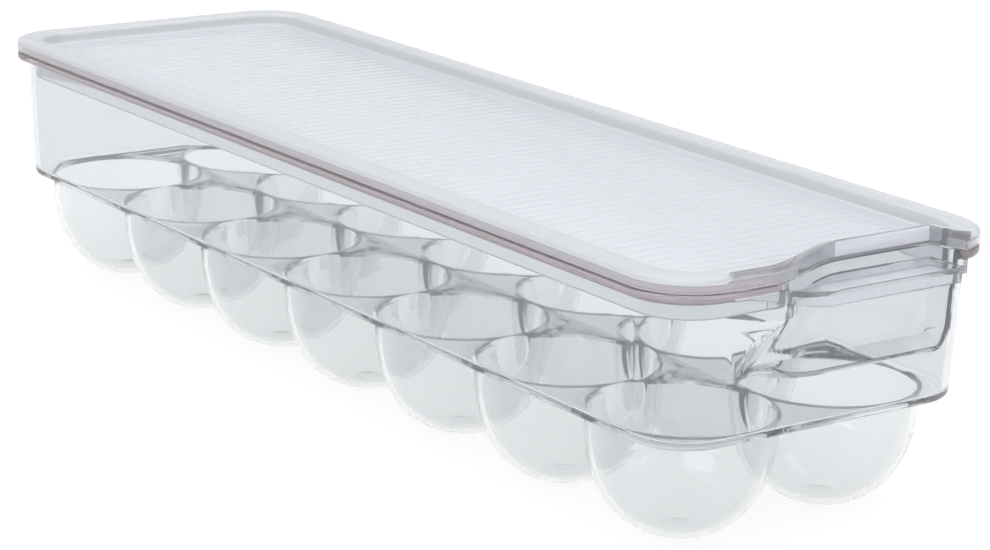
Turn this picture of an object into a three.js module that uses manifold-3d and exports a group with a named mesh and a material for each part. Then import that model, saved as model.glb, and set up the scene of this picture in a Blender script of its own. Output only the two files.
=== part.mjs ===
// Covered refrigerator egg holder: a clear moulded tray with 2 x 7 round-bottomed egg cups,
// and a clear lid that rests on the tray's rim. Millimetres, +Z up. The origin is on the
// surface that the tray stands on, under the middle of the tray, with +Y along its length.
// The grip for pulling the tray out is in the short wall at -Y.

import * as THREE from 'three';
import { mergeVertices } from 'three/addons/utils/BufferGeometryUtils.js';
import Module from 'manifold-3d';

const wasm = await Module();
wasm.setup();

// ---- driving dimensions ----
const RIM_WIDTH = 114;
const RIM_LENGTH = 366;
const RIM_CORNER_RADIUS = 17.5;
const SHEET = 1.8;                 // general thickness of the moulded plastic

// Tray walls: a rounded rectangle that leans outward from the deck to the rim.
const DECK_WIDTH = 104;
const DECK_LENGTH = 358;
const WALL_CORNER_RADIUS = 15.6;
const WALL_LEAN = 2;               // how far each wall leans out by the time it reaches the rim
const DECK_TOP = 34.6;
const FLANGE_BOTTOM = 72.7;
const FLANGE_TOP = 75.2;

// Egg cups, hanging under the deck and standing on small flat feet.
const CUP_COLUMNS = 2;
const CUP_ROWS = 7;
const CUP_PITCH = 50;
const CUP_RADIUS = 25.8;           // outside, at the deck
const CUP_FOOT_RADIUS = 6;
const CUP_SHEET = 1.6;
const CUP_SIDE_ROUNDNESS = 2.2;    // exponents of the cup's bulging profile
const CUP_BOTTOM_ROUNDNESS = 2.5;
const CUP_SEGMENTS = 20;
const CUP_STEPS = 5;

// Grip in the front wall: the rim steps back behind a ledge with a down-turned lip, and there is
// a recess for the fingers under the ledge.
const GRIP_DEPTH = 11;
const GRIP_START_X = -26;          // where the front edge starts to sweep back
const GRIP_SWEEP = 34;             // length of that long, gentle sweep
const GRIP_END_X = 43;
const GRIP_RETURN = 4.5;           // length of the short sweep back out, near the corner
const GRIP_STEPS = 8;              // straight pieces in each sweep
const LIP_START_X = -37;           // where the rim's lower edge starts to drop into the lip
const LIP_BOTTOM = 67;
const LIP_TOP = 71;
const LEDGE_RISE = 1;              // the ledge climbs about this much from the lip to the rim
const RECESS_START_X = -36;        // at its floor the recess sweeps back from here
const RECESS_SWEEP = 14;           // over this length
const RECESS_END_X = 41;
const RECESS_CORNER = 4;           // rounding of the floor's corner at that end
const RECESS_FRONT_FLOOR = 48.3;
const RECESS_BACK_FLOOR = 50.7;
const RECESS_CURL_X = -5;          // towards the other end the floor's front edge curls up
const RECESS_CURL = 6.6;
const RECESS_SHOULDER = 65.5;      // above here the back wall follows the rim's sweep

// Lid: a flat rim round a sunk panel, with a skirt that drops inside the tray's walls.
const LID_GAP = 0.3;               // between the lid's rim and the tray's flange
const LID_TOP = 79.4;
const LID_RIM_WIDTH = 8;
const NOTCH_WALL = 1.8;            // thickness of the raised wall round the grip's notch
const NOTCH_TOP = 80.4;
const PANEL_TOP = 75.8;
const PANEL_THICKNESS = 1.8;
const PLUG_BOTTOM = 67;
const PLUG_INSET = 6.2;            // from the lid's outer edge to the plug skirt
const PLUG_SHEET = 1.6;
const PLUG_GRIP_INSET = 2.6;       // the same along the grip's sweep
const PLUG_CORNER_RADIUS = 14;

const CORNER_SEGMENTS = 8;
const PAST = 1;                    // how far a cutting solid runs past what it cuts

const FRONT = -RIM_LENGTH / 2;

// ---- solids ----
function toSolid(geometry) {
  const plain = geometry.clone();
  plain.deleteAttribute('normal');
  plain.deleteAttribute('uv');
  const merged = mergeVertices(plain, 1e-4);
  return new wasm.Manifold(new wasm.Mesh({
    numProp: 3,
    vertProperties: new Float32Array(merged.attributes.position.array),
    triVerts: new Uint32Array(merged.index.array),
  }));
}

function toGeometry(solid) {
  const mesh = solid.getMesh();
  const geometry = new THREE.BufferGeometry();
  geometry.setAttribute('position', new THREE.BufferAttribute(mesh.vertProperties, 3));
  geometry.setIndex(new THREE.BufferAttribute(mesh.triVerts, 1));
  geometry.computeVertexNormals();
  return geometry;
}

function roundedRectangle(width, length, radius) {
  const x = width / 2 - radius;
  const y = length / 2 - radius;
  const shape = new THREE.Shape();
  shape.absarc(x, y, radius, 0, Math.PI / 2);
  shape.absarc(-x, y, radius, Math.PI / 2, Math.PI);
  shape.absarc(-x, -y, radius, Math.PI, 1.5 * Math.PI);
  shape.absarc(x, -y, radius, 1.5 * Math.PI, 2 * Math.PI);
  return shape;
}

function prism(shape, bottom, top) {
  const settings = { depth: top - bottom, bevelEnabled: false, curveSegments: CORNER_SEGMENTS };
  return new THREE.ExtrudeGeometry(shape, settings).translate(0, 0, bottom);
}

// A rounded block whose walls lean out by `lean` between its bottom and its top.
function leaningBlock(width, length, radius, bottom, top, lean) {
  const geometry = prism(roundedRectangle(width, length, radius), bottom, top);
  const position = geometry.attributes.position;
  for (let i = 0; i < position.count; i += 1) {
    const share = (position.getZ(i) - bottom) / (top - bottom);
    const x = position.getX(i) * (1 + 2 * lean * share / width);
    const y = position.getY(i) * (1 + 2 * lean * share / length);
    position.setXY(i, x, y);
  }
  return toSolid(geometry);
}

function roundedBlock(inset, bottom, top, radius = RIM_CORNER_RADIUS - inset) {
  const shape = roundedRectangle(RIM_WIDTH - 2 * inset, RIM_LENGTH - 2 * inset, radius);
  return toSolid(prism(shape, bottom, top));
}

// ---- the grip ----
function sweep(share) {
  const s = THREE.MathUtils.clamp(share, 0, 1);
  return s * s * (3 - 2 * s);
}

// How far the front edge is set back at x: 0 at the corners, 1 over the grip. The floor of the
// recess has another start, and a shorter sweep.
function setback(x, grow, start = GRIP_START_X, length = GRIP_SWEEP) {
  const rise = sweep((x - (start - grow)) / length);
  const fall = sweep((GRIP_END_X + grow - x) / GRIP_RETURN);
  return rise * fall;
}

// Everything in front of the sweep, moved back into the tray by `grow`.
function gripBlock(grow, bottom, top) {
  const start = GRIP_START_X - grow;
  const end = GRIP_END_X + grow;
  const xs = [];
  for (let i = 0; i <= GRIP_STEPS; i += 1) {
    xs.push(start + GRIP_SWEEP * i / GRIP_STEPS);
  }
  for (let i = 0; i <= GRIP_STEPS; i += 1) {
    xs.push(end - GRIP_RETURN + GRIP_RETURN * i / GRIP_STEPS);
  }
  const shape = new THREE.Shape();
  shape.moveTo(start, FRONT - PAST);
  shape.lineTo(end, FRONT - PAST);
  for (const x of xs.reverse()) {
    shape.lineTo(x, FRONT + grow + GRIP_DEPTH * setback(x, grow));
  }
  return toSolid(prism(shape, bottom, top));
}

// A bar that runs along X between two ends. At x, `edges` gives the y of its front, of its back at
// the bottom and of its back at the top, then the z of its bottom in front and at the back, and
// the same for its top.
function bar(start, end, edges) {
  const square = new THREE.Shape();
  square.moveTo(0, 0);
  square.lineTo(1, 0);
  square.lineTo(1, 1);
  square.lineTo(0, 1);
  const settings = { depth: 1, steps: 2 * GRIP_STEPS, bevelEnabled: false };
  const geometry = new THREE.ExtrudeGeometry(square, settings);
  const position = geometry.attributes.position;
  for (let i = 0; i < position.count; i += 1) {
    const back = position.getX(i);
    const up = position.getY(i);
    const x = start + (end - start) * position.getZ(i);
    const edge = edges(x);
    const y = back ? THREE.MathUtils.lerp(...edge.back, up) : edge.front;
    const z = THREE.MathUtils.lerp(edge.bottom[back], edge.top[back], up);
    position.setXYZ(i, x, y, z);
  }
  return toSolid(geometry);
}

// The share of its drop that the rim's front edge has made by x.
function lipDrop(x) {
  return sweep((x - LIP_START_X) / GRIP_SWEEP);
}

function lipTop(x) {
  return THREE.MathUtils.lerp(FLANGE_TOP, LIP_TOP, lipDrop(x));
}

function lipBottom(x) {
  return THREE.MathUtils.lerp(FLANGE_BOTTOM, LIP_BOTTOM, lipDrop(x));
}

// The height of the recess's floor at x, at its front and at its back.
function recessFloor(x) {
  const curl = THREE.MathUtils.clamp((RECESS_CURL_X - x) / (RECESS_CURL_X - GRIP_START_X), 0, 1);
  const beyond = THREE.MathUtils.clamp(x - RECESS_END_X + RECESS_CORNER, 0, RECESS_CORNER);
  const corner = RECESS_CORNER - Math.sqrt(RECESS_CORNER ** 2 - beyond ** 2);
  return [RECESS_FRONT_FLOOR + RECESS_CURL * curl * curl + corner, RECESS_BACK_FLOOR + corner];
}

// ---- tray ----
function cupProfile(radius, foot, bottom) {
  const drop = Math.pow(1 - Math.pow(foot / radius, CUP_SIDE_ROUNDNESS), 1 / CUP_BOTTOM_ROUNDNESS);
  const height = (DECK_TOP - bottom) / drop;
  const points = [new THREE.Vector2(0, bottom)];
  for (let i = 0; i <= CUP_STEPS; i += 1) {
    const r = foot + (radius - foot) * Math.sin(Math.PI / 2 * i / CUP_STEPS);
    const bulge = Math.pow(1 - Math.pow(r / radius, CUP_SIDE_ROUNDNESS), 1 / CUP_BOTTOM_ROUNDNESS);
    points.push(new THREE.Vector2(r, DECK_TOP - height * bulge));
  }
  return points;
}

function cup(radius, foot, bottom, top) {
  const points = cupProfile(radius, foot, bottom);
  if (top > DECK_TOP) {
    points.push(new THREE.Vector2(radius, top));
  }
  points.push(new THREE.Vector2(0, top));
  return new THREE.LatheGeometry(points, CUP_SEGMENTS).rotateX(Math.PI / 2);
}

function forEachCup(action) {
  for (let column = 0; column < CUP_COLUMNS; column += 1) {
    for (let row = 0; row < CUP_ROWS; row += 1) {
      const x = (column - (CUP_COLUMNS - 1) / 2) * CUP_PITCH;
      const y = (row - (CUP_ROWS - 1) / 2) * CUP_PITCH;
      action(x, y);
    }
  }
}

function trayShell() {
  const deckBottom = DECK_TOP - SHEET;
  let outside = leaningBlock(
    DECK_WIDTH, DECK_LENGTH, WALL_CORNER_RADIUS, deckBottom, FLANGE_TOP, WALL_LEAN);
  outside = outside.add(roundedBlock(0, FLANGE_BOTTOM, FLANGE_TOP));
  let inside = leaningBlock(
    DECK_WIDTH - 2 * SHEET, DECK_LENGTH - 2 * SHEET, WALL_CORNER_RADIUS - SHEET,
    DECK_TOP, FLANGE_TOP + PAST, WALL_LEAN);
  forEachCup((x, y) => {
    const outer = cup(CUP_RADIUS, CUP_FOOT_RADIUS, 0, DECK_TOP);
    const inner = cup(CUP_RADIUS - CUP_SHEET, CUP_FOOT_RADIUS, CUP_SHEET, DECK_TOP + PAST);
    outside = outside.add(toSolid(outer.translate(x, y, 0)));
    inside = inside.add(toSolid(inner.translate(x, y, 0)));
  });
  return { outside, shell: outside.subtract(inside) };
}

// The space over the ledge, or with `lower`, over a surface that far under its top.
function aboveLedge(lower) {
  const back = FRONT + GRIP_DEPTH + PAST;
  const top = FLANGE_TOP + 2 * PAST;
  return bar(GRIP_START_X - PAST, GRIP_END_X + PAST, (x) => ({
    front: FRONT - PAST,
    back: [back, back],
    bottom: [lipTop(x) - lower, lipTop(x) - lower + LEDGE_RISE],
    top: [top, top],
  }));
}

// The lower part of the finger recess. At its shoulder the back wall follows the rim's sweep, and at
// its floor a shorter one. `grow` gives the outside of the recess's own walls.
function recess(grow) {
  const back = FRONT - PAST / 2 + grow;
  const depth = GRIP_DEPTH + PAST / 2;
  return bar(RECESS_START_X - grow, RECESS_END_X + grow, (x) => ({
    front: FRONT - PAST,
    back: [
      back + depth * setback(x, grow, RECESS_START_X, RECESS_SWEEP),
      back + depth * setback(x, grow),
    ],
    bottom: recessFloor(x).map((z) => z - grow),
    top: [RECESS_SHOULDER, RECESS_SHOULDER],
  }));
}

// A plate along the front of the rim, whose lower edge drops from the flange into the lip.
function lipPlate() {
  return bar(LIP_START_X, RECESS_END_X, (x) => ({
    front: FRONT - PAST,
    back: [FRONT + SHEET, FRONT + SHEET],
    bottom: [lipBottom(x), lipBottom(x)],
    top: [FLANGE_TOP, FLANGE_TOP],
  })).intersect(roundedBlock(0, LIP_BOTTOM, FLANGE_TOP));
}

function trayGeometry() {
  const { outside, shell } = trayShell();
  const walls = recess(SHEET)
    .add(gripBlock(SHEET, RECESS_SHOULDER - SHEET, FLANGE_TOP))
    .intersect(outside);
  const ledge = gripBlock(0, LIP_TOP - SHEET, FLANGE_TOP)
    .intersect(roundedBlock(0, LIP_TOP - SHEET, FLANGE_TOP));
  const underLedge = gripBlock(0, RECESS_SHOULDER - PAST, FLANGE_TOP)
    .subtract(aboveLedge(SHEET));
  const overLedge = aboveLedge(0).intersect(gripBlock(0, LIP_BOTTOM, FLANGE_TOP + PAST));
  const body = shell.add(walls).add(ledge).subtract(recess(0)).subtract(underLedge);
  return toGeometry(body.add(lipPlate()).subtract(overLedge));
}

// ---- lid ----
// A block `inset` inside the lid's edge, and `notchInset` inside the edge of the grip's notch.
function lidBlock(inset, notchInset, bottom, top, radius) {
  return roundedBlock(inset, bottom, top, radius)
    .subtract(gripBlock(notchInset, bottom - PAST, top + PAST));
}

// The wall round the grip's notch, which stands a little above the rim.
function notchWall(bottom) {
  return gripBlock(NOTCH_WALL, bottom, NOTCH_TOP)
    .subtract(gripBlock(0, bottom - PAST, NOTCH_TOP + PAST))
    .intersect(roundedBlock(0, bottom, NOTCH_TOP));
}

function lidGeometry() {
  const rimBottom = FLANGE_TOP + LID_GAP;
  const panelBottom = PANEL_TOP - PANEL_THICKNESS;
  const rimUnderside = LID_TOP - SHEET;
  const sunkRadius = PLUG_CORNER_RADIUS - (LID_RIM_WIDTH - PLUG_INSET);
  const rim = lidBlock(0, 0, rimBottom, LID_TOP, RIM_CORNER_RADIUS);
  const sunk = lidBlock(LID_RIM_WIDTH, NOTCH_WALL, PANEL_TOP, LID_TOP + PAST, sunkRadius);
  const plug = lidBlock(
    PLUG_INSET, PLUG_GRIP_INSET, PLUG_BOTTOM, rimUnderside, PLUG_CORNER_RADIUS);
  const plugInside = lidBlock(
    PLUG_INSET + PLUG_SHEET, PLUG_GRIP_INSET + PLUG_SHEET, PLUG_BOTTOM - PAST, panelBottom,
    PLUG_CORNER_RADIUS - PLUG_SHEET);
  const groove = roundedBlock(SHEET, rimBottom - PAST, rimUnderside)
    .subtract(roundedBlock(PLUG_INSET, rimBottom - 2 * PAST, LID_TOP, PLUG_CORNER_RADIUS))
    .subtract(gripBlock(NOTCH_WALL, rimBottom - 2 * PAST, LID_TOP));
  const body = rim.subtract(sunk).subtract(groove).add(notchWall(rimBottom));
  return toGeometry(body.add(plug.subtract(plugInside).subtract(sunk)));
}

// ---- assembly ----
const clearPlastic = new THREE.MeshStandardMaterial({
  color: 0xdfe4e8, roughness: 0.08, metalness: 0, transparent: true, opacity: 0.35,
});
const ribbedPlastic = new THREE.MeshStandardMaterial({
  color: 0xd9dde4, roughness: 0.2, metalness: 0, transparent: true, opacity: 0.45,
});

function piece(name, geometry, material) {
  const mesh = new THREE.Mesh(geometry, material);
  mesh.name = name;
  return mesh;
}

const eggHolder = new THREE.Group();
eggHolder.add(piece('tray', trayGeometry(), clearPlastic));
eggHolder.add(piece('lid', lidGeometry(), ribbedPlastic));

export default eggHolder;
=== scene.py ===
"""Covered egg holder tray: a clear moulded tray with 2 x 7 egg cups, and a ribbed lid.

The sizes below are the CAD model's, in millimetres, and the meshes are in metres. The tray and
the lid are each one moulding, so each is one piece here, with the roundings, the finer cups and
the ribs that the CAD model leaves out.
"""

import math

import bmesh
import bpy
from mathutils import Matrix, Vector


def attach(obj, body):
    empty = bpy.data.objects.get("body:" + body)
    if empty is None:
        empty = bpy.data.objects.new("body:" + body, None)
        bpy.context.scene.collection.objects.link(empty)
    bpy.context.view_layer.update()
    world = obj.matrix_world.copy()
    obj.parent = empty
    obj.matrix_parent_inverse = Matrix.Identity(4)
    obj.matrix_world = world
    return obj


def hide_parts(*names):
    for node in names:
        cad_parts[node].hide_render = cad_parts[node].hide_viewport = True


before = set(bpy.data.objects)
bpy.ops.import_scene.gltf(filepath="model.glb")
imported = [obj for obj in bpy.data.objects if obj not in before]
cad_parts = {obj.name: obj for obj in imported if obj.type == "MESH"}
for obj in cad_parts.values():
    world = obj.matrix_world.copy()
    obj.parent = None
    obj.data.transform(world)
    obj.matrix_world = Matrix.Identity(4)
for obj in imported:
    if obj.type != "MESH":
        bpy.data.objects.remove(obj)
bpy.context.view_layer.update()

MM = 0.001

# ---- tray ----
RIM_HALF = (57.0, 183.0)
RIM_CORNER = 17.5
SHEET = 1.8
WALL_HALF = (52.0, 179.0)          # outside of the walls, at their bottom
WALL_CORNER = 15.6
WALL_LEAN = 2.0                    # how far each wall leans out up to the rim
DECK_TOP = 34.6
FLANGE_BOTTOM = 72.7
FLANGE_TOP = 75.2

CUP_COLUMNS = 2
CUP_ROWS = 7
CUP_PITCH = 50.0
CUP_RADIUS = 25.8
CUP_FOOT = 6.0
CUP_SHEET = 1.6
CUP_SIDE_ROUNDNESS = 2.2
CUP_BOTTOM_ROUNDNESS = 2.5
CUP_FLARE = 0.75                   # rounding where a cup meets the deck

GRIP_DEPTH = 11.0
GRIP_START_X = -26.0
GRIP_SWEEP = 34.0
GRIP_END_X = 43.0
GRIP_RETURN = 4.5
LIP_START_X = -37.0
LIP_BOTTOM = 67.0
LIP_TOP = 71.0
LEDGE_RISE = 1.0
RECESS_START_X = -36.0
RECESS_SWEEP = 14.0
RECESS_END_X = 41.0
RECESS_CORNER = 4.0
RECESS_FRONT_FLOOR = 48.3
RECESS_BACK_FLOOR = 50.7
RECESS_CURL_X = -5.0
RECESS_CURL = 6.6
RECESS_SHOULDER = 65.5

# ---- lid ----
LID_BOTTOM = 75.5
LID_TOP = 79.4
LID_RIM_WIDTH = 8.0
NOTCH_START_X = -38.0              # where the raised wall round the grip's notch starts
NOTCH_WALL = 1.8
NOTCH_TOP = 80.4
PANEL_TOP = 75.8
PANEL_THICKNESS = 1.8
PLUG_BOTTOM = 67.0
PLUG_INSET = 6.2
PLUG_SHEET = 1.6
PLUG_GRIP_INSET = 2.6
PLUG_CORNER = 14.0
RIB_PITCH = 4.7
RIB_WIDTH = 4.3
RIB_HEIGHT = 0.32
RIB_SKEW = 0.5                     # 1 for an even rib; less moves its crest towards the front
RIB_RUN_OUT = 3.0                  # over how much of its ends a rib sinks into the panel
RIB_ROOT = 0.4                     # how far a rib reaches into the panel
RIB_MARGIN_SIDE = 8.5              # smooth border of the panel, beside and in front of the ribs
RIB_MARGIN_FRONT = 17.0
RIB_MARGIN_BACK = 9.0

# ---- roundings ----
DECK_FILLET = 1.2                  # inside, where the walls meet the deck
WALL_FILLET = 1.6                  # outside, at the bottom of the walls
FLANGE_FILLET = 0.8                # under the flange
RIM_ROUNDING = 0.9
RIM_INNER_ROUNDING = 0.6
CUP_FOOT_ROUNDING = 0.6
LID_EDGE = 0.5                     # lower edges of the rim and the skirt
LID_OUTER_ROUNDING = 1.5
LID_INNER_ROUNDING = 0.9
LID_FILLET = 0.4                   # top of the channel between the rim and the skirt
PANEL_FILLET = 1.0
PANEL_UNDER_FILLET = 0.6

# ---- steps and small distances ----
CORNER_STEPS = 20
CUP_SEGMENTS = 72
CUP_STEPS = 16
GRIP_STEPS = 20
RIB_STATIONS = 12
RIB_STEPS = 12
WALL_STATIONS = (50.0, 65.0)
SMOOTH_ANGLE = 32                  # degrees; a sharper edge is shaded as an edge
PAST = 1.0                         # how far a cutting solid runs past what it cuts
HAIR = 0.01                        # keeps the faces of combined bodies from coinciding
OVERLAP = 0.3                      # how far inside its neighbour a joined part ends
SLACK = 0.1                        # how far a face's middle may lie off the surface it is part of
FRONT = -RIM_HALF[1]


# ---- meshes from rings of points ----
def loft(name, rings, flat_faces=True):
    """A closed body through rings of equal length, in mm, with an end face on each end ring.

    Where its side faces aren't flat, they are split into triangles."""
    mesh = bmesh.new()
    loops = [[mesh.verts.new(Vector(point) * MM) for point in ring] for ring in rings]
    for low, high in zip(loops, loops[1:]):
        for i in range(len(low)):
            j = (i + 1) % len(low)
            mesh.faces.new((low[i], low[j], high[j], high[i]))
    mesh.faces.new(list(reversed(loops[0])))
    mesh.faces.new(loops[-1])
    if not flat_faces:
        bmesh.ops.triangulate(mesh, faces=mesh.faces)
    bmesh.ops.recalc_face_normals(mesh, faces=mesh.faces)
    return to_object(name, mesh)


def to_object(name, mesh):
    data = bpy.data.meshes.new(name)
    mesh.to_mesh(data)
    mesh.free()
    made = bpy.data.objects.new(name, data)
    bpy.context.scene.collection.objects.link(made)
    return made


def join(name, parts):
    """One object from separate bodies that don't touch each other."""
    mesh = bmesh.new()
    for part in parts:
        mesh.from_mesh(part.data)
        bpy.data.objects.remove(part)
    return to_object(name, mesh)


def combine(base, operation, tool):
    """Cuts tool from base, or adds it or keeps what both hold; tool is used up."""
    modifier = base.modifiers.new(operation.lower(), "BOOLEAN")
    modifier.operation = operation
    modifier.solver = "EXACT"
    modifier.object = tool
    graph = bpy.context.evaluated_depsgraph_get()
    result = bpy.data.meshes.new_from_object(base.evaluated_get(graph))
    base.modifiers.clear()
    base.data = result
    bpy.data.objects.remove(tool)
    return base


def arc(centre, radius, start, end, steps=4):
    """Points (out, z) of a rounding, between two angles in degrees."""
    points = []
    for i in range(steps + 1):
        angle = math.radians(start + (end - start) * i / steps)
        points.append((centre[0] + radius * math.cos(angle), centre[1] + radius * math.sin(angle)))
    return points


def bend(out, z, radius, start, end, steps=4):
    """A rounding of the corner at (out, z), which touches both lines that meet there."""
    middle = math.radians((start + end) / 2)
    to_centre_out = math.copysign(radius, -math.cos(middle))
    to_centre_z = math.copysign(radius, -math.sin(middle))
    return arc((out + to_centre_out, z + to_centre_z), radius, start, end, steps)


def rounded_outline(half_x, half_y, radius, z):
    corners = ((1, 1), (-1, 1), (-1, -1), (1, -1))
    points = []
    for quarter, (side_x, side_y) in enumerate(corners):
        for i in range(CORNER_STEPS + 1):
            angle = math.radians(90 * (quarter + i / CORNER_STEPS))
            x = side_x * (half_x - radius) + radius * math.cos(angle)
            y = side_y * (half_y - radius) + radius * math.sin(angle)
            points.append((x, y, z))
    return points


def rim_outline(out, z, corner=RIM_CORNER):
    """The rim's outline moved outward by `out`, or inward where it is negative."""
    return rounded_outline(RIM_HALF[0] + out, RIM_HALF[1] + out, corner + out, z)


def wall_outline(out, z):
    """The walls' outline at height z, moved outward by `out`."""
    lean = WALL_LEAN * (z - DECK_TOP + SHEET) / (FLANGE_TOP - DECK_TOP + SHEET)
    grow = lean + out
    return rounded_outline(WALL_HALF[0] + grow, WALL_HALF[1] + grow, WALL_CORNER + grow, z)


# ---- the grip's sweep ----
def smooth_step(share):
    s = min(1.0, max(0.0, share))
    return s * s * (3 - 2 * s)


def setback(x, grow=0.0, start=GRIP_START_X, length=GRIP_SWEEP):
    """How far the front edge is set back at x, from 0 at the corners to 1 over the grip. The
    sweep begins at start, or that far to its left with grow, and takes length to reach 1."""
    rise = smooth_step((x - start + grow) / length)
    fall = smooth_step((GRIP_END_X + grow - x) / GRIP_RETURN)
    return rise * fall


def sweep_path(grow, start_x=None):
    """Points (x, y) along the swept front edge, moved back into the tray by `grow`."""
    first = GRIP_START_X - grow
    last = GRIP_END_X + grow
    xs = [first + GRIP_SWEEP * i / GRIP_STEPS for i in range(GRIP_STEPS + 1)]
    xs += [last - GRIP_RETURN * (1 - i / GRIP_STEPS) for i in range(GRIP_STEPS + 1)]
    path = [(x, FRONT + grow + GRIP_DEPTH * setback(x, grow)) for x in xs]
    if start_x is not None:
        path.insert(0, (start_x, FRONT + grow))
    return path


def grip_block(name, grow, bottom, top):
    """Everything in front of the swept edge."""
    outline = [(GRIP_START_X - grow, FRONT - PAST), (GRIP_END_X + grow, FRONT - PAST)]
    outline += reversed(sweep_path(grow))
    return loft(name, [[(x, y, z) for x, y in outline] for z in (bottom, top)])


def bar(name, start, end, edges):
    """A bar along X. edges(x) gives its front y, its back y at the bottom and at the top, then the
    z of its bottom in front and at the back, and the z of its top in front and at the back."""
    rings = []
    steps = 2 * GRIP_STEPS
    for i in range(steps + 1):
        x = start + (end - start) * i / steps
        front, back, bottom, top = edges(x)
        rings.append([
            (x, front, bottom[0]),
            (x, back[0], bottom[1]),
            (x, back[1], top[1]),
            (x, front, top[0]),
        ])
    return loft(name, rings, flat_faces=False)


def swept_wall(name, profile, start_x=None):
    """A wall along the swept edge, whose section is a list of (distance behind the edge, z)."""
    lines = [[(x, y, z) for x, y in sweep_path(behind, start_x)] for behind, z in profile]
    return loft(name, list(zip(*lines)), flat_faces=False)


def lip_drop(x):
    return smooth_step((x - LIP_START_X) / GRIP_SWEEP)


def lip_top(x):
    return FLANGE_TOP + (LIP_TOP - FLANGE_TOP) * lip_drop(x)


def lip_bottom(x):
    return FLANGE_BOTTOM + (LIP_BOTTOM - FLANGE_BOTTOM) * lip_drop(x)


def recess_floor(x, lower):
    """The height of the recess's floor at x, at its front and at its back, or `lower` under it."""
    curl = min(1.0, max(0.0, (RECESS_CURL_X - x) / (RECESS_CURL_X - GRIP_START_X)))
    beyond = min(RECESS_CORNER, max(0.0, x - RECESS_END_X + RECESS_CORNER))
    lift = RECESS_CORNER - math.sqrt(RECESS_CORNER ** 2 - beyond ** 2) - lower
    return RECESS_FRONT_FLOOR + RECESS_CURL * curl * curl + lift, RECESS_BACK_FLOOR + lift


# ---- tray ----
def tray_tub():
    """Walls, deck and flange, with their edges rounded."""
    deck = bend(0.0, DECK_TOP, DECK_FILLET, -80, 0)
    inner = bend(0.0, FLANGE_TOP, RIM_INNER_ROUNDING, 150, 90)
    rim = bend(0.0, FLANGE_TOP, RIM_ROUNDING, 90, 0)
    rim += bend(0.0, FLANGE_BOTTOM, RIM_ROUNDING, 0, -90)
    flange = bend(0.0, FLANGE_BOTTOM, FLANGE_FILLET, 90, 180)
    foot = bend(0.0, DECK_TOP - SHEET, WALL_FILLET, 0, -90)
    under_inner = FLANGE_TOP - 0.7

    rings = [wall_outline(-SHEET - DECK_FILLET, DECK_TOP)]
    rings += [wall_outline(-SHEET + out, z) for out, z in deck]
    rings += [wall_outline(-SHEET, z) for z in (*WALL_STATIONS, under_inner)]
    rings += [wall_outline(-SHEET + out, z) for out, z in inner]
    rings += [rim_outline(out, z) for out, z in rim]
    rings += [wall_outline(out, z) for out, z in flange]
    rings += [wall_outline(0, z) for z in reversed(WALL_STATIONS)]
    rings += [wall_outline(out, z) for out, z in foot]
    return loft("tray", rings)


def cup_profile(radius, bottom, top):
    """Points (r, z) of a cup's bulging side, from its foot up towards the deck, as far as top."""
    def bulge(r):
        return (1 - (r / radius) ** CUP_SIDE_ROUNDNESS) ** (1 / CUP_BOTTOM_ROUNDNESS)

    height = (DECK_TOP - bottom) / bulge(CUP_FOOT)
    points = []
    for i in range(CUP_STEPS):
        r = CUP_FOOT + (radius - CUP_FOOT) * math.sin(math.pi / 2 * i / CUP_STEPS)
        points.append((r, DECK_TOP - height * bulge(r)))
    return [(r, z) for r, z in points if z < top]


def lathe(name, profile, centre):
    """A closed body turned round a vertical line through centre, flat at both ends."""
    rings = []
    for r, z in profile:
        ring = []
        for i in range(CUP_SEGMENTS):
            angle = 2 * math.pi * (i + 0.5) / CUP_SEGMENTS
            ring.append((centre[0] + r * math.cos(angle), centre[1] + r * math.sin(angle), z))
        rings.append(ring)
    return loft(name, rings)


def cup_centres(parity=None):
    centres = []
    for column in range(CUP_COLUMNS):
        for row in range(CUP_ROWS):
            if parity is None or (column + row) % 2 == parity:
                x = (column - (CUP_COLUMNS - 1) / 2) * CUP_PITCH
                y = (row - (CUP_ROWS - 1) / 2) * CUP_PITCH
                centres.append((x, y))
    return centres


def outer_cups(parity):
    """Every second cup's outside, because neighbours run into each other."""
    inside_deck = DECK_TOP - SHEET / 2
    profile = [(CUP_FOOT - CUP_FOOT_ROUNDING, 0.0)]
    profile += cup_profile(CUP_RADIUS, 0.0, inside_deck - 0.1)
    profile.append((CUP_RADIUS - 2 * HAIR, inside_deck))
    return join("cups", [lathe("cup", profile, centre) for centre in cup_centres(parity)])


def inner_cups():
    """The cups' hollows, which flare out at the deck and cut a little into the fillet above it."""
    radius = CUP_RADIUS - CUP_SHEET
    flare_bottom = DECK_TOP - CUP_FLARE
    profile = cup_profile(radius, CUP_SHEET, flare_bottom - 0.3)
    profile += arc((radius + CUP_FLARE, flare_bottom), CUP_FLARE, 180, 95)
    profile.append((radius + CUP_FLARE, DECK_TOP + DECK_FILLET / 2))
    return join("hollows", [lathe("hollow", profile, centre) for centre in cup_centres()])


def over_ledge(lower):
    """The space over the ledge, or with lower, over a surface that far under its top."""
    top = FLANGE_TOP + 3 * PAST

    def edges(x):
        z = lip_top(x) - lower
        return FRONT - PAST, [FRONT + GRIP_DEPTH + PAST] * 2, (z, z + LEDGE_RISE), (top, top)

    return bar("over", GRIP_START_X - PAST, GRIP_END_X + PAST, edges)


def recess(grow):
    """The finger recess below its shoulder, or with grow, the outside of its own walls."""
    near = FRONT - PAST / 2 + grow     # in front of the rim, so that its left end runs out
    depth = GRIP_DEPTH + PAST / 2

    def edges(x):
        floor_back = near + depth * setback(x, grow, RECESS_START_X, RECESS_SWEEP)
        back = (floor_back, near + depth * setback(x, grow))
        return FRONT - PAST, back, recess_floor(x, grow), (RECESS_SHOULDER, RECESS_SHOULDER)

    return bar("recess", RECESS_START_X - grow, RECESS_END_X + grow, edges)


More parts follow.
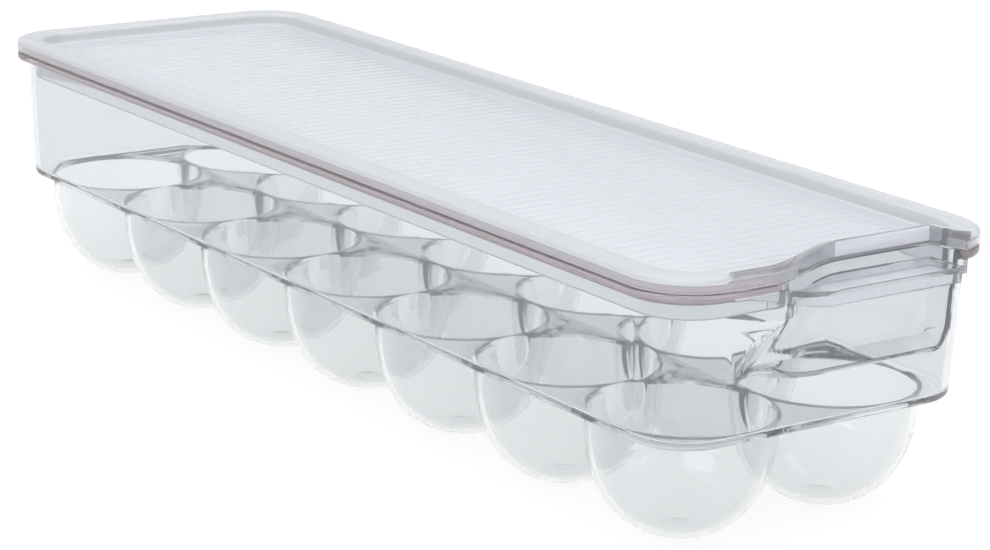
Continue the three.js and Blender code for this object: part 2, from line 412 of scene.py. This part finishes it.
def lip_plate():
    """The lip that hangs down from the flange and the ledge along the front."""
    def edges(x):
        z = lip_bottom(x)
        return FRONT - PAST, [FRONT + SHEET] * 2, (z, z), [FLANGE_TOP - OVERLAP] * 2

    plate = bar("lip", LIP_START_X, RECESS_END_X, edges)
    return combine(plate, "INTERSECT", rim_block("rim", -2 * HAIR))


def rim_block(name, out):
    """Everything within the rim's outline, from under the lip up."""
    return loft(name, [rim_outline(out, z) for z in (LIP_BOTTOM - PAST, FLANGE_TOP + PAST)])


def build_tray():
    """The tub with its cups, then the recess's and the grip's own walls and the ledge, then the
    finger recess, the space under the ledge, the lip and the space over the ledge."""
    tray = tray_tub()
    for parity in (0, 1):
        combine(tray, "UNION", outer_cups(parity))
    combine(tray, "DIFFERENCE", inner_cups())

    walls = recess(SHEET)
    wall_top = FLANGE_TOP - OVERLAP
    combine(walls, "UNION", grip_block("walls", SHEET, RECESS_SHOULDER - SHEET, wall_top))
    heights = (DECK_TOP + 2 * PAST, FLANGE_TOP + PAST)
    outside = loft("outside", [wall_outline(-5 * HAIR, z) for z in heights])
    combine(walls, "INTERSECT", outside)
    combine(tray, "UNION", walls)

    ledge_top = FLANGE_TOP - 0.4       # under the walls' top, so that the two don't coincide
    ledge = grip_block("ledge", OVERLAP, LIP_TOP - SHEET, ledge_top)
    combine(ledge, "INTERSECT", rim_block("rim", -3 * HAIR))
    combine(tray, "UNION", ledge)

    combine(tray, "DIFFERENCE", recess(0.0))
    under = grip_block("under", 0.0, RECESS_SHOULDER - PAST, FLANGE_TOP + PAST)
    combine(under, "DIFFERENCE", over_ledge(SHEET))
    combine(tray, "DIFFERENCE", under)
    combine(tray, "UNION", lip_plate())
    over = over_ledge(0.0)
    combine(over, "INTERSECT", grip_block("over", 0.0, LIP_BOTTOM, FLANGE_TOP + 2 * PAST))
    combine(tray, "DIFFERENCE", over)
    return tray


# ---- lid ----
def lid_ring(out, z):
    """The rim's outline moved by `out`, with the skirt's own corners from the skirt inward."""
    outside_skirt = out > -PLUG_INSET + LID_EDGE
    corner = RIM_CORNER if outside_skirt else PLUG_CORNER + PLUG_INSET
    return rim_outline(out, z, corner)


def lid_shell():
    """Rim, skirt and sunk panel, from the panel's top over the rim to the panel's underside."""
    rim_inner = -LID_RIM_WIDTH
    plug = -PLUG_INSET
    plug_inner = plug - PLUG_SHEET
    under = LID_TOP - SHEET
    panel_bottom = PANEL_TOP - PANEL_THICKNESS
    profile = bend(rim_inner, PANEL_TOP, PANEL_FILLET, -90, 0)
    profile += bend(rim_inner, LID_TOP, LID_INNER_ROUNDING, 180, 90)
    profile += bend(0.0, LID_TOP, LID_OUTER_ROUNDING, 90, 0, steps=6)
    profile += bend(0.0, LID_BOTTOM, LID_EDGE, 0, -90)
    profile += bend(-SHEET, LID_BOTTOM, LID_EDGE, -90, -180)
    profile += bend(-SHEET, under, LID_FILLET, 0, 90)
    profile += bend(plug, under, LID_FILLET, 90, 180)
    profile += bend(plug, PLUG_BOTTOM, LID_EDGE, 0, -90)
    profile += bend(plug_inner, PLUG_BOTTOM, LID_EDGE, -90, -180)
    profile += bend(plug_inner, panel_bottom, PANEL_UNDER_FILLET, 0, 90)
    return loft("lid", [lid_ring(out, z) for out, z in profile])


def rib(y, half_length):
    """A low rounded rib across the panel, steeper in front, whose ends run out into the panel."""
    rings = []
    half_width = RIB_WIDTH / 2
    root = PANEL_TOP - RIB_ROOT
    for i in range(RIB_STATIONS + 1):
        share = 2 * i / RIB_STATIONS - 1
        x = half_length * math.copysign(1 - (1 - abs(share)) ** 2, share)
        height = RIB_HEIGHT * min(1.0, (half_length - abs(x)) / RIB_RUN_OUT) - 2 * HAIR
        section = [(x, y - half_width, root), (x, y + half_width, root)]
        for j in range(RIB_STEPS + 1):
            across = 1 - 2 * j / RIB_STEPS
            from_crest = 1 - 2 * ((1 + across) / 2) ** RIB_SKEW
            rise = height * (1 - from_crest * from_crest) - HAIR
            section.append((x, y + across * half_width, PANEL_TOP + rise))
        rings.append(section)
    return loft("rib", rings)


def rib_field():
    """The ribs, from the front of the panel to its back."""
    half = RIM_HALF[0] - LID_RIM_WIDTH - RIB_MARGIN_SIDE
    first = FRONT + RIB_MARGIN_FRONT
    last = RIM_HALF[1] - LID_RIM_WIDTH - RIB_MARGIN_BACK
    count = int((last - first) / RIB_PITCH)
    return join("ribs", [rib(first + RIB_PITCH * i, half) for i in range(count + 1)])


def notch_wall():
    """The raised wall round the grip's notch, with a rounded top."""
    thick = NOTCH_WALL - 4 * HAIR
    middle = thick / 2
    bottom = LID_BOTTOM + 3 * HAIR
    profile = [(0.0, bottom), (thick, bottom)]
    profile += arc((middle, NOTCH_TOP - middle), middle, 0, 180, steps=8)
    wall = swept_wall("notch", profile, NOTCH_START_X)
    heights = (LID_BOTTOM - PAST, NOTCH_TOP + PAST)
    outside = loft("edge", [rim_outline(-2 * HAIR, z) for z in heights])
    return combine(wall, "INTERSECT", outside)


def plug_wall():
    """The skirt's own wall behind the notch."""
    near = PLUG_GRIP_INSET
    far = near + PLUG_SHEET
    bottom = PLUG_BOTTOM + 3 * HAIR
    in_panel = PANEL_TOP - LID_EDGE
    profile = [(near, in_panel)]
    profile += bend(near, bottom, LID_EDGE, 180, 270)
    profile += bend(far, bottom, LID_EDGE, 270, 360)
    profile.append((far, in_panel))
    wall = swept_wall("plug", profile)
    heights = (PLUG_BOTTOM - PAST, PANEL_TOP + PAST)
    inside = loft("skirt", [lid_ring(-PLUG_INSET - 2 * HAIR, z) for z in heights])
    return combine(wall, "INTERSECT", inside)


def build_lid():
    """The shell with its ribs, cut out at the grip, then the skirt's and the notch's walls there."""
    lid = lid_shell()
    combine(lid, "UNION", rib_field())
    behind = 0.2                       # how far the cuts run behind the front of the two walls
    bottom = PLUG_BOTTOM - PAST
    combine(lid, "DIFFERENCE", grip_block("notch", behind, bottom, NOTCH_TOP + PAST))
    under = grip_block("plug", PLUG_GRIP_INSET + behind, bottom, LID_BOTTOM - 5 * HAIR)
    combine(lid, "DIFFERENCE", under)
    combine(lid, "UNION", plug_wall())
    combine(lid, "UNION", notch_wall())
    return lid


def finish_mesh(piece):
    """Removes what the booleans leave behind, and shades all but the sharp edges smoothly."""
    mesh = bmesh.new()
    mesh.from_mesh(piece.data)
    bmesh.ops.remove_doubles(mesh, verts=mesh.verts, dist=HAIR * MM)
    bmesh.ops.dissolve_degenerate(mesh, edges=mesh.edges, dist=HAIR * MM / 2)
    bmesh.ops.recalc_face_normals(mesh, faces=mesh.faces)
    for face in mesh.faces:
        face.smooth = True
    mesh.to_mesh(piece.data)
    mesh.free()
    piece.data.set_sharp_from_angle(angle=math.radians(SMOOTH_ANGLE))


# ---- materials ----
def node(tree, kind, **inputs):
    made = tree.nodes.new(kind)
    for name, value in inputs.items():
        made.inputs[name.replace("_", " ")].default_value = value
    return made


def clear_plastic(name, tint_and_painted_shade, absorption, density, clearness, roughness, haze):
    """Clear moulded plastic: darker where light runs far inside it, milky by what its clearness
    leaves, with faint waves, and with haze, an uneven roughness on top of the even one. For the
    edge bands its tint_and_painted_shade holds painted shade, greyer on the lid and mauve on the
    flange."""
    material = bpy.data.materials.new(name)
    material.use_nodes = True
    tree = material.node_tree
    tree.nodes.clear()
    output = tree.nodes.new("ShaderNodeOutputMaterial")
    shader = node(tree, "ShaderNodeBsdfPrincipled", Transmission_Weight=clearness, IOR=1.4)
    shader.inputs["Base Color"].default_value = (*tint_and_painted_shade, 1.0)
    volume = node(tree, "ShaderNodeVolumeAbsorption", Density=density)
    volume.inputs["Color"].default_value = (*absorption, 1.0)

    place = tree.nodes.new("ShaderNodeTexCoord")
    patches = node(tree, "ShaderNodeTexNoise", Scale=45.0, Detail=3.0, Roughness=0.55)
    spread = node(tree, "ShaderNodeMapRange", To_Min=roughness, To_Max=roughness + haze)
    waves = node(tree, "ShaderNodeTexNoise", Scale=22.0, Detail=1.0, Roughness=0.4)
    bump = node(tree, "ShaderNodeBump", Strength=0.06, Distance=0.001)
    link = tree.links.new
    link(place.outputs["Object"], patches.inputs["Vector"])
    link(place.outputs["Object"], waves.inputs["Vector"])
    link(patches.outputs["Fac"], spread.inputs["Value"])
    link(spread.outputs["Result"], shader.inputs["Roughness"])
    link(waves.outputs["Fac"], bump.inputs["Height"])
    link(bump.outputs["Normal"], shader.inputs["Normal"])
    link(shader.outputs["BSDF"], output.inputs["Surface"])
    link(volume.outputs["Volume"], output.inputs["Volume"])
    return material


def wall_plastic():
    return clear_plastic(
        "wall_plastic",
        tint_and_painted_shade=(0.86, 0.885, 0.905),
        absorption=(0.60, 0.61, 0.65),
        density=5.0,
        clearness=0.94,
        roughness=0.015,
        haze=0.03,
    )


def cup_plastic():
    return clear_plastic(
        "cup_plastic",
        tint_and_painted_shade=(0.925, 0.94, 0.945),
        absorption=(0.60, 0.61, 0.65),
        density=8.0,
        clearness=0.96,
        roughness=0.015,
        haze=0.03,
    )


# Painted shade: a mauve, milkier copy of the tray's clear plastic on its flange band. It stands in
# for the shade that light running along inside the edge gives.
def flange_painted_shade_plastic():
    return clear_plastic(
        "flange_painted_shade_plastic",
        tint_and_painted_shade=(0.80, 0.70, 0.72),
        absorption=(0.60, 0.56, 0.60),
        density=5.0,
        clearness=0.8,
        roughness=0.03,
        haze=0.03,
    )


def lid_plastic():
    return clear_plastic(
        "lid_plastic",
        tint_and_painted_shade=(0.965, 0.965, 0.98),
        absorption=(0.60, 0.60, 0.63),
        density=5.0,
        clearness=0.9,
        roughness=0.02,
        haze=0.03,
    )


def ribbed_plastic():
    return clear_plastic(
        "ribbed_plastic",
        tint_and_painted_shade=(0.80, 0.835, 0.875),
        absorption=(0.60, 0.60, 0.64),
        density=5.0,
        clearness=0.5,
        roughness=0.18,
        haze=0.1,
    )


def rim_plastic():
    return clear_plastic(
        "rim_plastic",
        tint_and_painted_shade=(0.79, 0.825, 0.845),
        absorption=(0.60, 0.60, 0.63),
        density=5.0,
        clearness=0.5,
        roughness=0.06,
        haze=0.05,
    )


# Painted shade: a lilac, milkier copy of the lid's clear plastic on the rim's outer band. It stands
# in for the grey that light running along inside the edge gives.
def band_painted_shade_plastic():
    return clear_plastic(
        "band_painted_shade_plastic",
        tint_and_painted_shade=(0.97, 0.91, 0.94),
        absorption=(0.60, 0.58, 0.63),
        density=5.0,
        clearness=0.75,
        roughness=0.02,
        haze=0.03,
    )


# Painted shade: a greyer copy of the lid's clear plastic on the wall round the grip's notch. It
# stands in for the grey that light running along inside the wall gives.
def notch_painted_shade_plastic():
    return clear_plastic(
        "notch_painted_shade_plastic",
        tint_and_painted_shade=(0.84, 0.84, 0.885),
        absorption=(0.60, 0.60, 0.65),
        density=5.0,
        clearness=0.85,
        roughness=0.015,
        haze=0.03,
    )


# Walls, the flange band's copy with painted shade, and cups.
def tray_finishes_and_painted_shade():
    return [wall_plastic(), flange_painted_shade_plastic(), cup_plastic()]


# Underside, panel, rim top, then the outer band's and the notch wall's copies with painted shade.
def lid_finishes_and_painted_shade():
    return [lid_plastic(), ribbed_plastic(), rim_plastic(), band_painted_shade_plastic(), notch_painted_shade_plastic()]


def beyond_rim(x, y):
    """How far (x, y) lies outside the rim's outline, in mm, or inside it where negative."""
    side_x = abs(x) - RIM_HALF[0] + RIM_CORNER
    side_y = abs(y) - RIM_HALF[1] + RIM_CORNER
    outside = math.hypot(max(side_x, 0.0), max(side_y, 0.0))
    return outside + min(max(side_x, side_y), 0.0) - RIM_CORNER


def in_notch_wall(x, y):
    """Whether (x, y) lies in the wall round the notch, or in front of it."""
    return x > NOTCH_START_X and y < FRONT + NOTCH_WALL + GRIP_DEPTH * setback(x)


def lid_face_finish_and_painted_shade(face):
    """Which of the lid's finishes a face has, as its place in lid_finishes_and_painted_shade(); the
    outer band and the wall round the notch take copies with painted shade.
    """
    underside, panel, rim, painted_shade_band, notch = range(5)
    x, y, z = face.center / MM
    faces_up = face.normal.z >= 0.3
    faces_down = face.normal.z < -0.1
    if z < LID_BOTTOM - 2 * SLACK:
        return underside
    # The rim's outer band takes the copy of the plastic with painted shade.
    if beyond_rim(x, y) > -3 * SLACK and z < LID_TOP - LID_OUTER_ROUNDING + SLACK:
        return painted_shade_band
    # The wall round the notch takes the copy of the plastic with painted shade.
    if in_notch_wall(x, y) and (z > LID_TOP or not faces_up):
        return notch
    if faces_down:
        return underside
    if z < PANEL_TOP + RIB_HEIGHT + SLACK:
        return panel
    return rim


def tray_face_finish_and_painted_shade(face):
    """Which of the tray's finishes a face has, as its place in tray_finishes_and_painted_shade(); the
    flange band takes a copy with painted shade.
    """
    walls, painted_shade_band, cups = range(3)
    x, y, z = face.center / MM
    # The flange band takes the copy of the plastic with painted shade.
    if z > FLANGE_BOTTOM - 2 * SLACK and beyond_rim(x, y) > -RIM_ROUNDING:
        return painted_shade_band
    return walls if z > DECK_TOP + 3 * SLACK else cups


def give_finishes_and_painted_shade(piece, materials, pick_finish_and_shade):
    """Gives each face of a piece the one of the materials that pick_finish_and_shade(face) picks;
    some of them carry painted shade.
    """
    for material in materials:
        piece.data.materials.append(material)
    for face in piece.data.polygons:
        face.material_index = pick_finish_and_shade(face)


# ---- stage, lights and camera ----
CAMERA_PLACE = Vector((-493.919, -713.363, 271.017)) * MM
CAMERA_AZIMUTH = -35.862
CAMERA_ELEVATION = 15.467
CAMERA_ROLL = 1.653
CAMERA_LENS = 106.55
LIGHT_BOUNCES = 28                 # enough for a view along the whole row of clear cups


def build_camera():
    data = bpy.data.cameras.new("camera")
    data.lens = CAMERA_LENS
    data.sensor_width = 36.0
    data.clip_start = 0.01
    data.clip_end = 50.0
    camera = bpy.data.objects.new("camera", data)
    azimuth = math.radians(CAMERA_AZIMUTH)
    elevation = math.radians(CAMERA_ELEVATION)
    looking = Vector((
        -math.sin(azimuth) * math.cos(elevation),
        math.cos(azimuth) * math.cos(elevation),
        -math.sin(elevation),
    ))
    turn = looking.to_track_quat("-Z", "Y").to_matrix().to_4x4()
    roll = Matrix.Rotation(math.radians(CAMERA_ROLL), 4, "Z")
    camera.matrix_world = Matrix.Translation(CAMERA_PLACE) @ turn @ roll
    bpy.context.scene.collection.objects.link(camera)
    bpy.context.scene.camera = camera


def build_floor():
    """A plain pale floor, which glows a little less than white."""
    mesh = bmesh.new()
    bmesh.ops.create_grid(mesh, x_segments=8, y_segments=8, size=6.0)
    floor = to_object("floor", mesh)
    floor.location.z = -0.0002
    material = bpy.data.materials.new("floor")
    material.use_nodes = True
    shader = material.node_tree.nodes["Principled BSDF"]
    shader.inputs["Base Color"].default_value = (0.1, 0.1, 0.101, 1.0)
    shader.inputs["Roughness"].default_value = 0.9
    shader.inputs["Specular IOR Level"].default_value = 0.1
    shader.inputs["Emission Color"].default_value = (1.0, 1.0, 1.0, 1.0)
    shader.inputs["Emission Strength"].default_value = 0.92
    floor.data.materials.append(material)


def soft_light(name, place, target, size, power):
    """A rectangular light at place, in metres, that shines towards target."""
    data = bpy.data.lights.new(name, "AREA")
    data.shape = "RECTANGLE"
    data.size, data.size_y = size
    data.energy = power
    light = bpy.data.objects.new(name, data)
    direction = Vector(target) - Vector(place)
    light.location = place
    light.rotation_euler = direction.to_track_quat("-Z", "Y").to_euler()
    bpy.context.scene.collection.objects.link(light)


def build_lights():
    world = bpy.data.worlds.new("surroundings")
    world.use_nodes = True
    background = world.node_tree.nodes["Background"]
    background.inputs["Color"].default_value = (0.80, 0.79, 0.82, 1.0)
    background.inputs["Strength"].default_value = 0.85
    bpy.context.scene.world = world
    soft_light("overhead", place=(0.0, 0.1, 1.5), target=(0.0, 0.0, 0.0), size=(2.4, 2.4), power=26.0)
    soft_light("left", place=(-1.3, -0.5, 0.8), target=(0.0, 0.0, 0.04), size=(1.2, 0.8), power=8.0)
    soft_light("front", place=(0.7, -1.5, 0.7), target=(0.0, 0.0, 0.05), size=(0.9, 0.6), power=5.0)


def build():
    build_camera()
    build_floor()
    build_lights()
    tray = build_tray()
    lid = build_lid()
    finish_mesh(tray)
    finish_mesh(lid)
    tray.name = "moulded_tray"
    lid.name = "moulded_lid"
    give_finishes_and_painted_shade(tray, tray_finishes_and_painted_shade(), tray_face_finish_and_painted_shade)
    give_finishes_and_painted_shade(lid, lid_finishes_and_painted_shade(), lid_face_finish_and_painted_shade)

    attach(tray, "tray")
    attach(lid, "lid")
    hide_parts("tray")
    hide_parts("lid")


build()
bpy.context.scene.view_settings.view_transform = "Standard"
bpy.context.scene.cycles.max_bounces = LIGHT_BOUNCES
bpy.context.scene.cycles.transmission_bounces = LIGHT_BOUNCES
bpy.context.scene.cycles.glossy_bounces = LIGHT_BOUNCES
